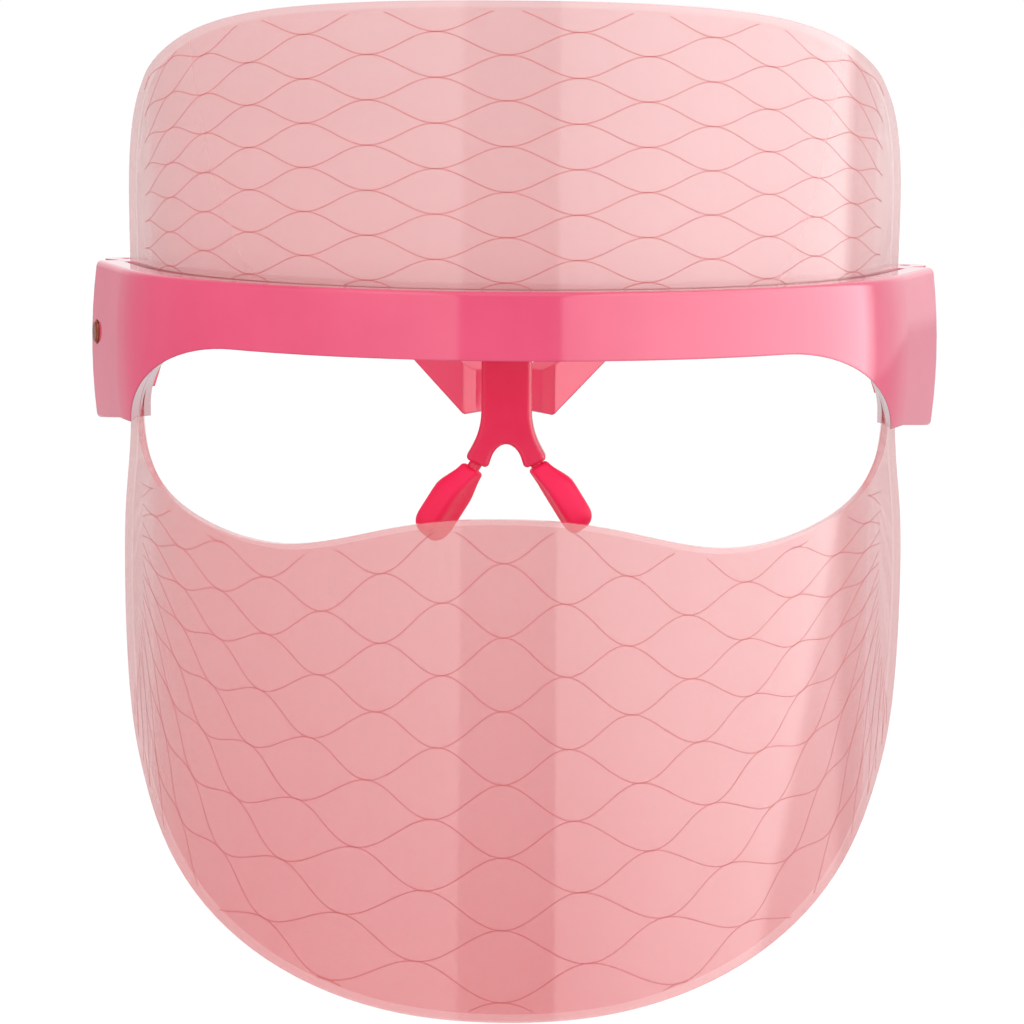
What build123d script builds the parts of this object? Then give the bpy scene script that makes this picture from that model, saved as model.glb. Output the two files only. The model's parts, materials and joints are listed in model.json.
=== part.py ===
"""Light-therapy face shield worn like a pair of glasses.

Frame: +Z up, +Y towards the wearer's head, the shield's front faces -Y.
The origin is the nose rest, midway between the two silicone nose pads.
"Left" and "right" are as seen from the front: left is -X. Sizes in millimetres.
"""
import os
from math import cos, degrees, radians, sin

from build123d import *

# ---------------------------------------------------------------- driving dimensions
# bent sheet: an arc about a vertical axis, with straight legs tangent to its ends
SHEET_RADIUS = 82.0          # outer face of the clear panel
SHEET_AXIS_Y = 64.0          # where the vertical bending axis stands
ARC_HALF_ANGLE = 70.0        # degrees to each side of the front
PANEL_THICK = 1.5
FILM_THICK = 0.5
FILM_INSET = 1.3             # the film stops short of the panel's edge
SHEET_THICK = PANEL_THICK + FILM_THICK

# frame bar that carries everything
BAR_TOP = 43.5
BAR_BOTTOM = 30.2
TAB_BOTTOM = 12.0
TAB_LEG = 24.0               # length of the tab along the straight leg
TAB_DROP = 2.6               # the tab's lower edge drops by this much towards its rear end
TAB_HOLLOW = 18.6            # the tab is solid beyond this, for the screws
FRONT_TOP_PROUD = 5.0        # how far the front cover stands off the panel
FRONT_MID_PROUD = 6.2
FRONT_LOW_PROUD = 5.2
WALL = 1.8
SKIN_GAP = 0.15              # covers clear the sheet by this much
CORNER_X = 55.0              # eye opening corner: quarter ellipse about (CORNER_X, TAB_BOTTOM)
CORNER_WIDE = 24.0
CORNER_TALL = BAR_BOTTOM - TAB_BOTTOM
REAR_WALL_RADIUS = 78.0      # back of the rear cover, an arc through y = 0
REAR_WALL_X = 64.0           # where that arc hands over to the side strips
SIDE_DEPTH = 6.6             # depth of the side strips behind the panel's outer face
EDGE_ROUND = 1.2
CUT_OVER = 0.5               # cuts run on this far past the wall they go through
EYE_BELOW = 5.0              # the eye opening's outline runs on this far below the tabs

# temple arms, folded behind the bar
HINGE_X = 84.5
HINGE_Y = 64.0
HINGE_PIN_R = 1.2
PIN_CLEARANCE = 0.06
KNUCKLE_R = 4.2
EAR_R = 4.6
EAR_LOW_TOP = 15.2
EAR_HIGH_LOW = 41.5
EAR_GAP = 0.3                # between each ear and the knuckle
EAR_INSIDE = -4.4            # inner edge of the ears where they leave the tab
EAR_OVERLAP = 0.5            # the ears start this far inside the tab
PIN_FLOOR = 1.2              # left below each pin hole
PIN_SHORT = 0.4              # the pin stops this far below the top of its hole
FOLD_ANGLE = 33.2            # folded arms lean this far forward of square
ARM_END = 93.7               # hinge to tip
ARM_FRONT = 3.6              # front face, off the line through the hinge
ARM_BACK = -4.4
ARM_TOP = EAR_HIGH_LOW - EAR_GAP
ARM_LOW = 30.5
ARM_HEEL_LOW = EAR_LOW_TOP + EAR_GAP
# lower edge near the hinge: length from the hinge, height
ARM_HEEL = [(4.2, ARM_HEEL_LOW), (7.5, 24.0), (11.0, 28.6), (17.0, ARM_LOW)]
TIP_BEND = 75.0              # the tip turns down from here
TIP_LOW = 16.0
TIP_TALL = 9.0
TIP_CORNER = (1.3, 0.4)      # bevel of the tip's lower corner
# neck round the tab's corner: length from the hinge, distance off the line through it
ARM_NECK = [(13.4, ARM_FRONT), (7.6, -1.1), (1.0, -1.1)]
ARM_NECK_BACK = 12.0         # the arm's back reaches its full depth here
TIP_BEVEL = (1.6, 2.5)       # bevel of the tip's front corner, in plan

# nose bridge and pads
BRIDGE_FRONT = -8.0
BRIDGE_THICK = 4.4
BRIDGE_MID = BRIDGE_FRONT + BRIDGE_THICK / 2
BRIDGE_BEVEL = 0.5
STEM_HALF = 5.0
SLOT_GAP = 0.15
FLANGE_LOW = BAR_BOTTOM + WALL
FLANGE_THICK = 2.4
FLANGE_HALF = 10.0
FLANGE_DEEP = 7.0
FLANGE_SCREW_X = 7.6
SPIGOT_R = 1.3
SPIGOT_LEAN = 32.0           # degrees from straight down, outwards
SPIGOT_LENGTH = 7.0
PAD_LONG = 17.0
PAD_WIDE = 8.6
PAD_THICK = 5.9
PAD_BORE_GAP = 0.05
PAD_TWIST = {-1: 28.0, 1: 13.0}   # how far each pad is turned on its spigot

# electronics
BOARD_THICK = 1.0
BUTTON_R = 2.4
BUTTON_LIP = 0.7             # lip all round that keeps the button in its hole
BUTTON_Z = 28.5
BUTTON_LEG = 19.2            # place of the button's centre along the leg
BUTTON_FACE = 6.8            # how far its cap stands off the panel's outer face
BUTTON_GAP = 0.25
POCKET_LONG = 7.0            # space behind the button, along the leg
POCKET_TALL = 9.0
CELL_ANGLE = 24.0            # battery and main board sit this far round, one each side
SCREW_R = 0.8

BEND_AXIS = Axis((0, SHEET_AXIS_Y, 0), (0, 0, 1))
SIDES = {-1: "left", 1: "right"}
UNIT = (1.0, 1.0)            # spline end tangents follow the points' own spacing

os.makedirs("parts", exist_ok=True)


def finish(builder, name):
    """Label a finished piece and write it out under its own name."""
    builder.part.label = name
    export_step(builder.part, f"parts/{name}.step")


def station(angle, along=0.0):
    """Upright plane through the sheet: local x is the distance from the bending axis.

    Beyond the arc the plane is slid along the leg instead of being turned further.
    """
    turn = radians(angle)
    outward = Vector(sin(turn), -cos(turn), 0)
    tangent = Vector(cos(turn), sin(turn), 0)
    side = 1 if angle > 0 else -1
    origin = Vector(0, SHEET_AXIS_Y, 0) + tangent * (along * side)
    return Plane(origin=origin, x_dir=outward, z_dir=tangent * -1)


def leg_plane(side, along=0.0, proud=0.0):
    """Plane on the leg's face: local x runs up, the normal points outwards."""
    frame = station(side * ARC_HALF_ANGLE, along)
    origin = frame.origin + frame.x_dir * (SHEET_RADIUS + proud)
    return Plane(origin=origin, x_dir=(0, 0, 1), z_dir=frame.x_dir)


def along_leg(side, along, height):
    """Point in a leg plane's own axes, from a length along the leg and a height."""
    return (height, -side * along)


def on_arc(angle, proud):
    """Plan point at an angle from the front, standing proud of the panel's outer face."""
    turn = radians(angle)
    radius = SHEET_RADIUS + proud
    return (radius * sin(turn), SHEET_AXIS_Y - radius * cos(turn))


def leg_end(side, proud, length):
    """Plan point on a leg, at a length beyond the end of the arc."""
    turn = radians(ARC_HALF_ANGLE)
    x, y = on_arc(ARC_HALF_ANGLE, proud)
    return (side * (x + length * cos(turn)), y + length * sin(turn))


def plan_curve(proud, length):
    """Leg, arc, leg as one open line, from the left end to the right end."""
    Line(leg_end(-1, proud, length), leg_end(-1, proud, 0))
    ThreePointArc(leg_end(-1, proud, 0), on_arc(0, proud), leg_end(1, proud, 0))
    Line(leg_end(1, proud, 0), leg_end(1, proud, length))


def plan_band(outer, inner, length):
    """Closed plan of a bent strip between two distances from the panel's outer face."""
    with BuildSketch() as plan:
        with BuildLine():
            plan_curve(outer, length)
            Line(leg_end(1, outer, length), leg_end(1, inner, length))
            plan_curve(inner, length)
            Line(leg_end(-1, inner, length), leg_end(-1, outer, length))
        make_face()
    return plan.sketch


def rear_plan(wall, length):
    """Closed plan of the rear cover, or of its hollow when a wall is left round it."""
    front = -SHEET_THICK - SKIN_GAP
    strip = wall - SIDE_DEPTH
    hand_over = REAR_WALL_X - wall / 2
    radius = REAR_WALL_RADIUS + wall
    hand_over_y = REAR_WALL_RADIUS - (radius**2 - hand_over**2) ** 0.5
    with BuildSketch() as plan:
        with BuildLine():
            plan_curve(front, length)
            for side in SIDES:
                Line(leg_end(side, front, length), leg_end(side, strip, length))
                Line(leg_end(side, strip, length), leg_end(side, strip, 0))
                Line(leg_end(side, strip, 0), (side * hand_over, hand_over_y))
            ThreePointArc((-hand_over, hand_over_y), (0, -wall), (hand_over, hand_over_y))
        make_face()
    return plan.sketch


def eye_outline(grow):
    """Front view of the space under the bar: flat top, elliptical corners, upright sides.

    grow enlarges it on every side, to leave a wall when it is kept out of a hollow.
    """
    wide = CORNER_WIDE + grow
    tall = CORNER_TALL + grow
    top = TAB_BOTTOM + tall
    edge = CORNER_X + wide
    floor = TAB_BOTTOM - EYE_BELOW
    with BuildSketch(Plane.XZ) as view:
        with BuildLine():
            Line((-CORNER_X, top), (CORNER_X, top))
            EllipticalCenterArc((CORNER_X, TAB_BOTTOM), wide, tall, start_angle=0, arc_size=90)
            EllipticalCenterArc((-CORNER_X, TAB_BOTTOM), wide, tall, start_angle=90, arc_size=90)
            Polyline((edge, TAB_BOTTOM), (edge, floor), (-edge, floor), (-edge, TAB_BOTTOM))
        make_face()
    return view.sketch


# ---------------------------------------------------------------- bent clear sheets
# Outline of the flattened sheet, right half: distance round the sheet, then height.
ARC_LENGTH = radians(ARC_HALF_ANGLE) * SHEET_RADIUS
FOREHEAD = [(39, 98.3), (61, 95.9), (77, 92.3), (90, 87.9)]
CHIN = [(20, -102.3), (40, -98.6), (64, -90.2), (82, -80.9)]
EYE_RIM = [(19, -3.2), (32, -6.2), (46, -8.7), (56, -8.7), (74, -6.1), (89, -2.4)]
FOREHEAD_TOP, CHIN_LOW, RIM_MIDDLE = 99.3, -103.2, -1.6
# height and slope of each edge where the arc meets the leg
FOREHEAD_JOIN, FOREHEAD_SLOPE = 83.2, -0.64
CHIN_JOIN, CHIN_SLOPE = -68.9, 0.68
RIM_JOIN, RIM_SLOPE = 1.9, 0.50
OPENING_TOP = 36.6
# rear edge of the leg, then the edge of the eye opening: length along the leg, height
LEG_REAR = [(5.5, 79.6), (11.0, 73.5), (14.2, 65.0), (14.6, 54.0), (13.6, 40.0), (13.6, 20.0),
            (15.4, 4.0), (19.6, -8.0), (21.3, -24.0), (19.8, -40.0), (13.4, -57.0)]
LEG_RIM = [(5.4, 5.4), (8.6, 11.0)]
LEG_RIM_X = 9.3
RIM_STRAIGHT = 17.0           # above this height the opening's side is upright
RIM_BEVEL = 5.0


def across(distance, proud):
    """How far across the front view a point round the arc lies."""
    return on_arc(degrees(distance / SHEET_RADIUS), proud)[0]


def front_edge(points, middle, join, slope, inset, proud):
    """Symmetric edge in front view, through the middle, with its slope where it joins the legs."""
    half = [(across(d, proud), z - inset) for d, z in points]
    end = (across(ARC_LENGTH, proud), join - inset)
    steep = slope / cos(radians(ARC_HALF_ANGLE))
    right = half + [end]
    left = [(-x, z) for x, z in reversed(right)]
    tangents = [(1, -steep), (1, steep)]
    Spline(*left, (0, middle - inset), *right, tangents=tangents, tangent_scalars=UNIT)


def arc_face(inset, proud):
    """The two arched faces of a sheet, above and below the eye opening."""
    edge_x = across(ARC_LENGTH, proud)
    with BuildSketch(Plane.XZ) as upper:
        with BuildLine():
            front_edge(FOREHEAD, FOREHEAD_TOP, FOREHEAD_JOIN, FOREHEAD_SLOPE, inset, proud)
            low = OPENING_TOP + inset
            Polyline((-edge_x, FOREHEAD_JOIN - inset), (-edge_x, low), (edge_x, low),
                     (edge_x, FOREHEAD_JOIN - inset))
        make_face()
    with BuildSketch(Plane.XZ) as lower:
        with BuildLine():
            front_edge(EYE_RIM, RIM_MIDDLE, RIM_JOIN, RIM_SLOPE, inset, proud)
            front_edge(CHIN, CHIN_LOW, CHIN_JOIN, CHIN_SLOPE, -inset, proud)
            Line((-edge_x, RIM_JOIN - inset), (-edge_x, CHIN_JOIN + inset))
            Line((edge_x, RIM_JOIN - inset), (edge_x, CHIN_JOIN + inset))
        make_face()
    bend = Edge.make_three_point_arc(
        (*leg_end(-1, proud, 0), CHIN_LOW - 5),
        (*on_arc(0, proud), CHIN_LOW - 5),
        (*leg_end(1, proud, 0), CHIN_LOW - 5),
    )
    arched = Face.extrude(bend, (0, 0, FOREHEAD_TOP - CHIN_LOW + 10))
    reach = 2 * SHEET_RADIUS
    return [arched & extrude(sketch.sketch, amount=reach, both=True) for sketch in (upper, lower)]


def leg_outline(side, inset):
    """Closed outline of a sheet's leg in the leg's own axes: a C round the eye opening."""

    def place(along, height):
        return along_leg(side, along, height)

    rear = [place(s - inset, z) for s, z in LEG_REAR]
    rim = [place(s + inset * 0.6, z - inset * 0.8) for s, z in LEG_RIM]
    rim_side = LEG_RIM_X + inset
    with BuildSketch() as outline:
        with BuildLine():
            Spline(
                place(0, FOREHEAD_JOIN - inset), *rear, place(0, CHIN_JOIN + inset),
                tangents=[place(1, FOREHEAD_SLOPE), place(-1, -CHIN_SLOPE)], tangent_scalars=UNIT,
            )
            Line(place(0, CHIN_JOIN + inset), place(0, RIM_JOIN - inset))
            Spline(
                place(0, RIM_JOIN - inset), *rim, place(rim_side, RIM_STRAIGHT),
                tangents=[place(1, RIM_SLOPE), place(0, 1)], tangent_scalars=UNIT,
            )
            Polyline(
                place(rim_side, RIM_STRAIGHT), place(rim_side, OPENING_TOP - RIM_BEVEL),
                place(rim_side - RIM_BEVEL, OPENING_TOP + inset), place(0, OPENING_TOP + inset),
                place(0, FOREHEAD_JOIN - inset),
            )
        make_face()
    return outline.sketch


def bent_sheet(name, outer_proud, thick, inset):
    """A bent sheet with an eye opening: two arched pieces joined by the two legs."""
    faces = arc_face(inset, outer_proud)
    with BuildPart() as sheet:
        for face in faces:
            thicken(face, amount=thick)
        for side in SIDES:
            with BuildSketch(leg_plane(side, 0, outer_proud)):
                add(leg_outline(side, inset))
            extrude(amount=-thick)
    finish(sheet, name)


bent_sheet("visor_panel", 0.0, PANEL_THICK, 0.0)
bent_sheet("light_guide_film", -PANEL_THICK, FILM_THICK, FILM_INSET)


# ---------------------------------------------------------------- front and rear covers
with BuildSketch() as cover_profile:
    # radial section of the front cover: upright back face, gently crowned outer face
    with BuildLine():
        back = SHEET_RADIUS + SKIN_GAP
        top = (SHEET_RADIUS + FRONT_TOP_PROUD, BAR_TOP)
        middle = (SHEET_RADIUS + FRONT_MID_PROUD, (BAR_TOP + TAB_BOTTOM) / 2)
        bottom = (SHEET_RADIUS + FRONT_LOW_PROUD, TAB_BOTTOM - TAB_DROP)
        ThreePointArc(top, middle, bottom)
        Polyline(bottom, (back, TAB_BOTTOM - TAB_DROP), (back, BAR_TOP), top)
    make_face()
    outer_corners = cover_profile.vertices().sort_by(Axis.X)[-2:]
    fillet(outer_corners, radius=EDGE_ROUND)

# hollows: open towards the sheet, walled everywhere else
with BuildPart() as front_hollow:
    with BuildSketch(Plane.XY.offset(TAB_BOTTOM + WALL)):
        add(plan_band(FRONT_TOP_PROUD - WALL, -SHEET_THICK, TAB_HOLLOW))
    extrude(amount=BAR_TOP - TAB_BOTTOM - 2 * WALL)
    extrude(eye_outline(WALL), amount=2 * SHEET_RADIUS, both=True, mode=Mode.SUBTRACT)

with BuildPart() as rear_hollow:
    with BuildSketch(Plane.XY.offset(TAB_BOTTOM + WALL)):
        add(rear_plan(WALL, TAB_HOLLOW))
    extrude(amount=BAR_TOP - TAB_BOTTOM - 2 * WALL)
    extrude(eye_outline(WALL), amount=2 * SHEET_RADIUS, both=True, mode=Mode.SUBTRACT)

with BuildPart() as tab_trim:
    # wedge under each tab that gives it the sloping lower edge
    for side in SIDES:
        with BuildSketch(leg_plane(side, 0, -2 * SIDE_DEPTH)):
            with BuildLine():
                Polyline(
                    along_leg(side, -CORNER_WIDE, TAB_BOTTOM), along_leg(side, 0, TAB_BOTTOM),
                    along_leg(side, TAB_LEG + 1, TAB_BOTTOM - TAB_DROP),
                    along_leg(side, TAB_LEG + 1, TAB_BOTTOM - 2 * TAB_DROP),
                    along_leg(side, -CORNER_WIDE, TAB_BOTTOM - 2 * TAB_DROP), close=True,
                )
            make_face()
        extrude(amount=4 * SIDE_DEPTH)

SCREW_LEG = 21.3
SCREW_HEIGHTS = (19.5, 37.0)
SCREW_HEAD_R = 1.5
SCREW_GAP = 0.1
SCREW_HEAD_THICK = 1.0
SCREW_SINK = 2.6
SCREW_TIP_PROUD = 3.4
SCREW_SLOT = (1.8, 0.4)      # arms of the cross in each head
SCREW_SLOT_DEEP = 0.5
BRIDGE_SCREW_TIP = BAR_BOTTOM + 0.6


def screw_places(side):
    """Where the cover screws stand on a leg plane."""
    return [along_leg(side, SCREW_LEG, height) for height in SCREW_HEIGHTS]


with BuildPart() as front_cover:
    with BuildSketch(station(-ARC_HALF_ANGLE)):
        add(cover_profile.sketch)
    revolve(axis=BEND_AXIS, revolution_arc=2 * ARC_HALF_ANGLE)
    for side in SIDES:
        with BuildSketch(station(side * ARC_HALF_ANGLE)):
            add(cover_profile.sketch)
        extrude(amount=-side * TAB_LEG)
    extrude(eye_outline(0), amount=2 * SHEET_RADIUS, both=True, mode=Mode.SUBTRACT)
    add(tab_trim.part, mode=Mode.SUBTRACT)
    add(front_hollow.part, mode=Mode.SUBTRACT)
    # hole for the button's cap, and a pocket behind it for the lip and the switch board
    with BuildSketch(leg_plane(-1, 0, BUTTON_FACE)):
        with Locations(along_leg(-1, BUTTON_LEG, BUTTON_Z)):
            Circle(BUTTON_R + BUTTON_GAP)
    extrude(amount=-BUTTON_FACE, mode=Mode.SUBTRACT)
    with BuildSketch(leg_plane(-1, 0, FRONT_TOP_PROUD - WALL)):
        with Locations(along_leg(-1, BUTTON_LEG, BUTTON_Z)):
            Rectangle(POCKET_TALL, POCKET_LONG)
    extrude(amount=-FRONT_TOP_PROUD, mode=Mode.SUBTRACT)
    for side in SIDES:
        with BuildSketch(leg_plane(side)):
            with Locations(screw_places(side)):
                Circle(SCREW_R)
        extrude(amount=SCREW_TIP_PROUD, mode=Mode.SUBTRACT)
finish(front_cover, "front_cover")

PORT_ANGLE = CELL_ANGLE
PORT_RADIUS = 74.4           # middle of the socket, from the bending axis
PORT_WIDE = 9.0
PORT_DEEP = 3.2
PORT_TALL = 7.3
PORT_GAP = 0.2
PORT_ROUND = 1.2
PORT_WALL = 0.3              # metal of the socket's shell
PORT_END = 1.0               # its closed end
TONGUE_WIDE = 6.7
TONGUE_THICK = 0.7
SOCKET_LOW = BAR_BOTTOM + 0.1
BOARD_RADIUS = 76.5
LAND_LEG = 19.0              # beyond this the rear cover reaches the front cover
LIP_THICK = 0.8


def turned_plane(angle, radius, height):
    """Level plane at an angle round the bending axis: local y points outwards."""
    turn = radians(angle)
    x, y = radius * sin(turn), SHEET_AXIS_Y - radius * cos(turn)
    return Plane(origin=(x, y, height), x_dir=(-cos(turn), -sin(turn), 0), z_dir=(0, 0, 1))


with BuildPart() as opening_lip:
    # thin wall round the eye opening: it reaches forward to the front cover, clear of the sheets
    with BuildSketch(Plane.XY.offset(TAB_BOTTOM - TAB_DROP)):
        add(plan_band(SKIN_GAP / 2, -SHEET_THICK - WALL, TAB_HOLLOW))
    extrude(amount=BAR_TOP - TAB_BOTTOM)
    extrude(eye_outline(LIP_THICK), amount=2 * SHEET_RADIUS, both=True, mode=Mode.INTERSECT)
    for side in SIDES:
        with BuildSketch(leg_plane(side, 0, SKIN_GAP)):
            add(leg_outline(side, -SKIN_GAP))
        extrude(amount=-SHEET_THICK - 2 * SKIN_GAP, mode=Mode.SUBTRACT)

with BuildPart() as rear_cover:
    with BuildSketch(Plane.XY.offset(TAB_BOTTOM - TAB_DROP)):
        add(rear_plan(0, TAB_LEG))
    extrude(amount=BAR_TOP - TAB_BOTTOM + TAB_DROP)
    for side in SIDES:
        with BuildSketch(Plane.XY.offset(TAB_BOTTOM - TAB_DROP)):
            with BuildLine():
                Polyline(
                    leg_end(side, -SIDE_DEPTH / 2, LAND_LEG), leg_end(side, SKIN_GAP, LAND_LEG),
                    leg_end(side, SKIN_GAP, TAB_LEG), leg_end(side, -SIDE_DEPTH / 2, TAB_LEG), close=True,
                )
            make_face()
        extrude(amount=BAR_TOP - TAB_BOTTOM + TAB_DROP)
    add(rear_hollow.part, mode=Mode.SUBTRACT)
    add(opening_lip.part)
    extrude(eye_outline(0), amount=2 * SHEET_RADIUS, both=True, mode=Mode.SUBTRACT)
    add(tab_trim.part, mode=Mode.SUBTRACT)
    # hinge ears above and below each arm's knuckle
    ear_root = TAB_LEG - EAR_OVERLAP
    for low, high in ((TAB_BOTTOM, EAR_LOW_TOP), (EAR_HIGH_LOW, BAR_TOP)):
        for side in SIDES:
            with BuildSketch(Plane.XY.offset(low)):
                with Locations((side * HINGE_X, HINGE_Y)):
                    Circle(EAR_R)
                with BuildLine():
                    Polyline(
                        leg_end(side, EAR_INSIDE, ear_root), leg_end(side, SKIN_GAP, ear_root),
                        leg_end(side, SKIN_GAP, TAB_LEG), (side * (HINGE_X + EAR_R), HINGE_Y),
                        (side * (HINGE_X - EAR_R), HINGE_Y), close=True,
                    )
                make_face()
            extrude(amount=high - low)
    # pin holes: blind below, open at the top
    with BuildSketch(Plane.XY.offset(BAR_TOP)):
        with Locations(*[(side * HINGE_X, HINGE_Y) for side in SIDES]):
            Circle(HINGE_PIN_R)
    extrude(amount=-(BAR_TOP - TAB_BOTTOM - PIN_FLOOR), mode=Mode.SUBTRACT)
    # slot for the nose bridge's stem
    with BuildSketch(Plane.XY.offset(BAR_BOTTOM - CUT_OVER)):
        with Locations((0, BRIDGE_MID)):
            Rectangle(2 * (STEM_HALF + SLOT_GAP), BRIDGE_THICK + 2 * SLOT_GAP)
    extrude(amount=WALL + 2 * CUT_OVER, mode=Mode.SUBTRACT)
    # charging port, underneath
    with BuildSketch(turned_plane(PORT_ANGLE, PORT_RADIUS, BAR_BOTTOM - CUT_OVER)):
        RectangleRounded(PORT_WIDE + 2 * PORT_GAP, PORT_DEEP + 2 * PORT_GAP, PORT_ROUND + PORT_GAP)
    extrude(amount=WALL + 2 * CUT_OVER, mode=Mode.SUBTRACT)
    # screw holes, sunk from the inside of the tabs
    for side in SIDES:
        with BuildSketch(leg_plane(side, 0, -SIDE_DEPTH - 1)):
            with Locations(screw_places(side)):
                Circle(SCREW_HEAD_R + SCREW_GAP)
        extrude(amount=SCREW_SINK + 1, mode=Mode.SUBTRACT)
        with BuildSketch(leg_plane(side, 0, -SIDE_DEPTH)):
            with Locations(screw_places(side)):
                Circle(SCREW_R + SCREW_GAP)
        extrude(amount=SIDE_DEPTH + 1, mode=Mode.SUBTRACT)
    # nose bridge screw holes in the bottom wall
    with BuildSketch(Plane.XY.offset(BRIDGE_SCREW_TIP)):
        with Locations((-FLANGE_SCREW_X, BRIDGE_MID), (FLANGE_SCREW_X, BRIDGE_MID)):
            Circle(SCREW_R)
    extrude(amount=WALL, mode=Mode.SUBTRACT)
finish(rear_cover, "rear_cover")

with BuildPart() as cover_screws:
    for side in SIDES:
        with BuildSketch(leg_plane(side, 0, SCREW_SINK - SIDE_DEPTH)):
            with Locations(screw_places(side)):
                Circle(SCREW_R)
        extrude(amount=SIDE_DEPTH - SCREW_SINK + SCREW_TIP_PROUD)
        with BuildSketch(leg_plane(side, 0, SCREW_SINK - SIDE_DEPTH)):
            with Locations(screw_places(side)):
                Circle(SCREW_HEAD_R)
        extrude(amount=-SCREW_HEAD_THICK)
        with BuildSketch(leg_plane(side, 0, SCREW_SINK - SIDE_DEPTH - SCREW_HEAD_THICK)):
            with Locations(screw_places(side)):
                Rectangle(*SCREW_SLOT)
                Rectangle(*SCREW_SLOT[::-1])
        extrude(amount=SCREW_SLOT_DEEP, mode=Mode.SUBTRACT)
finish(cover_screws, "cover_screws")

# ---------------------------------------------------------------- nose bridge and pads
FOOT = (5.95, 8.2)           # middle of the foot's end, across and up
FOOT_OUTER = (8.2, 9.2)
FOOT_INNER = (3.7, 7.2)
ARCH_TOP = 12.1
FOOT_ROUND = 0.9
STEM_LOW = 19.0              # the stem starts to spread below this
SPIGOT_ROOT = 2.0            # the spigot starts this far inside the foot
FLANGE_ROUND = 1.5


def bridge_half(side):
    """One half of the Y in front view, from the stem's top round the foot to the arch."""
    Line((0, FLANGE_LOW), (side * STEM_HALF, FLANGE_LOW))
    Line((side * STEM_HALF, FLANGE_LOW), (side * STEM_HALF, STEM_LOW))
    Spline(
        (side * STEM_HALF, STEM_LOW), (side * 6.0, 13.4), (side * FOOT_OUTER[0], FOOT_OUTER[1]),
        tangents=[(0, -1), (side * 0.5, -0.85)], tangent_scalars=UNIT,
    )
    Line((side * FOOT_OUTER[0], FOOT_OUTER[1]), (side * FOOT_INNER[0], FOOT_INNER[1]))
    Spline(
        (side * FOOT_INNER[0], FOOT_INNER[1]), (side * 2.5, 10.4), (0, ARCH_TOP),
        tangents=[(-side * 0.4, 0.9), (-side, 0)], tangent_scalars=UNIT,
    )


def spigot_plane(side):
    """Plane at the foot's end, its normal pointing down the spigot."""
    lean = radians(SPIGOT_LEAN)
    origin = (side * FOOT[0], BRIDGE_MID, FOOT[1])
    return Plane(origin=origin, x_dir=(0, 1, 0), z_dir=(side * sin(lean), 0, -cos(lean)))


with BuildPart() as nose_bridge:
    with BuildSketch(Plane.XZ.offset(-BRIDGE_FRONT)) as nose_bridge_view:
        with BuildLine():
            for side in SIDES:
                bridge_half(side)
        make_face()
        feet = nose_bridge_view.vertices().filter_by(lambda v: v.Y < FOOT_OUTER[1] + 0.5)
        fillet(feet, radius=FOOT_ROUND)
    extrude(amount=-BRIDGE_THICK)
    front_edges = nose_bridge.faces().sort_by(Axis.Y)[0].edges()
    rear_edges = nose_bridge.faces().sort_by(Axis.Y)[-1].edges()
    chamfer(front_edges + rear_edges, length=BRIDGE_BEVEL)
    with BuildSketch(Plane.XY.offset(FLANGE_LOW)):
        with Locations((0, BRIDGE_MID)):
            RectangleRounded(2 * FLANGE_HALF, FLANGE_DEEP, FLANGE_ROUND)
    extrude(amount=FLANGE_THICK)
    with BuildSketch(Plane.XY.offset(FLANGE_LOW)):
        with Locations((-FLANGE_SCREW_X, BRIDGE_MID), (FLANGE_SCREW_X, BRIDGE_MID)):
            Circle(SCREW_R + SCREW_GAP)
    extrude(amount=FLANGE_THICK, mode=Mode.SUBTRACT)
    for side in SIDES:
        with BuildSketch(spigot_plane(side).offset(-SPIGOT_ROOT)):
            Circle(SPIGOT_R)
        extrude(amount=SPIGOT_LENGTH + SPIGOT_ROOT)
finish(nose_bridge, "nose_bridge")

with BuildPart() as bridge_screws:
    with BuildSketch(Plane.XY.offset(FLANGE_LOW + FLANGE_THICK)):
        with Locations((-FLANGE_SCREW_X, BRIDGE_MID), (FLANGE_SCREW_X, BRIDGE_MID)):
            Circle(SCREW_R)
    extrude(amount=BRIDGE_SCREW_TIP - FLANGE_LOW - FLANGE_THICK)
    with BuildSketch(Plane.XY.offset(FLANGE_LOW + FLANGE_THICK)):
        with Locations((-FLANGE_SCREW_X, BRIDGE_MID), (FLANGE_SCREW_X, BRIDGE_MID)):
            Circle(SCREW_HEAD_R)
    extrude(amount=SCREW_HEAD_THICK)
finish(bridge_screws, "bridge_screws")

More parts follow.
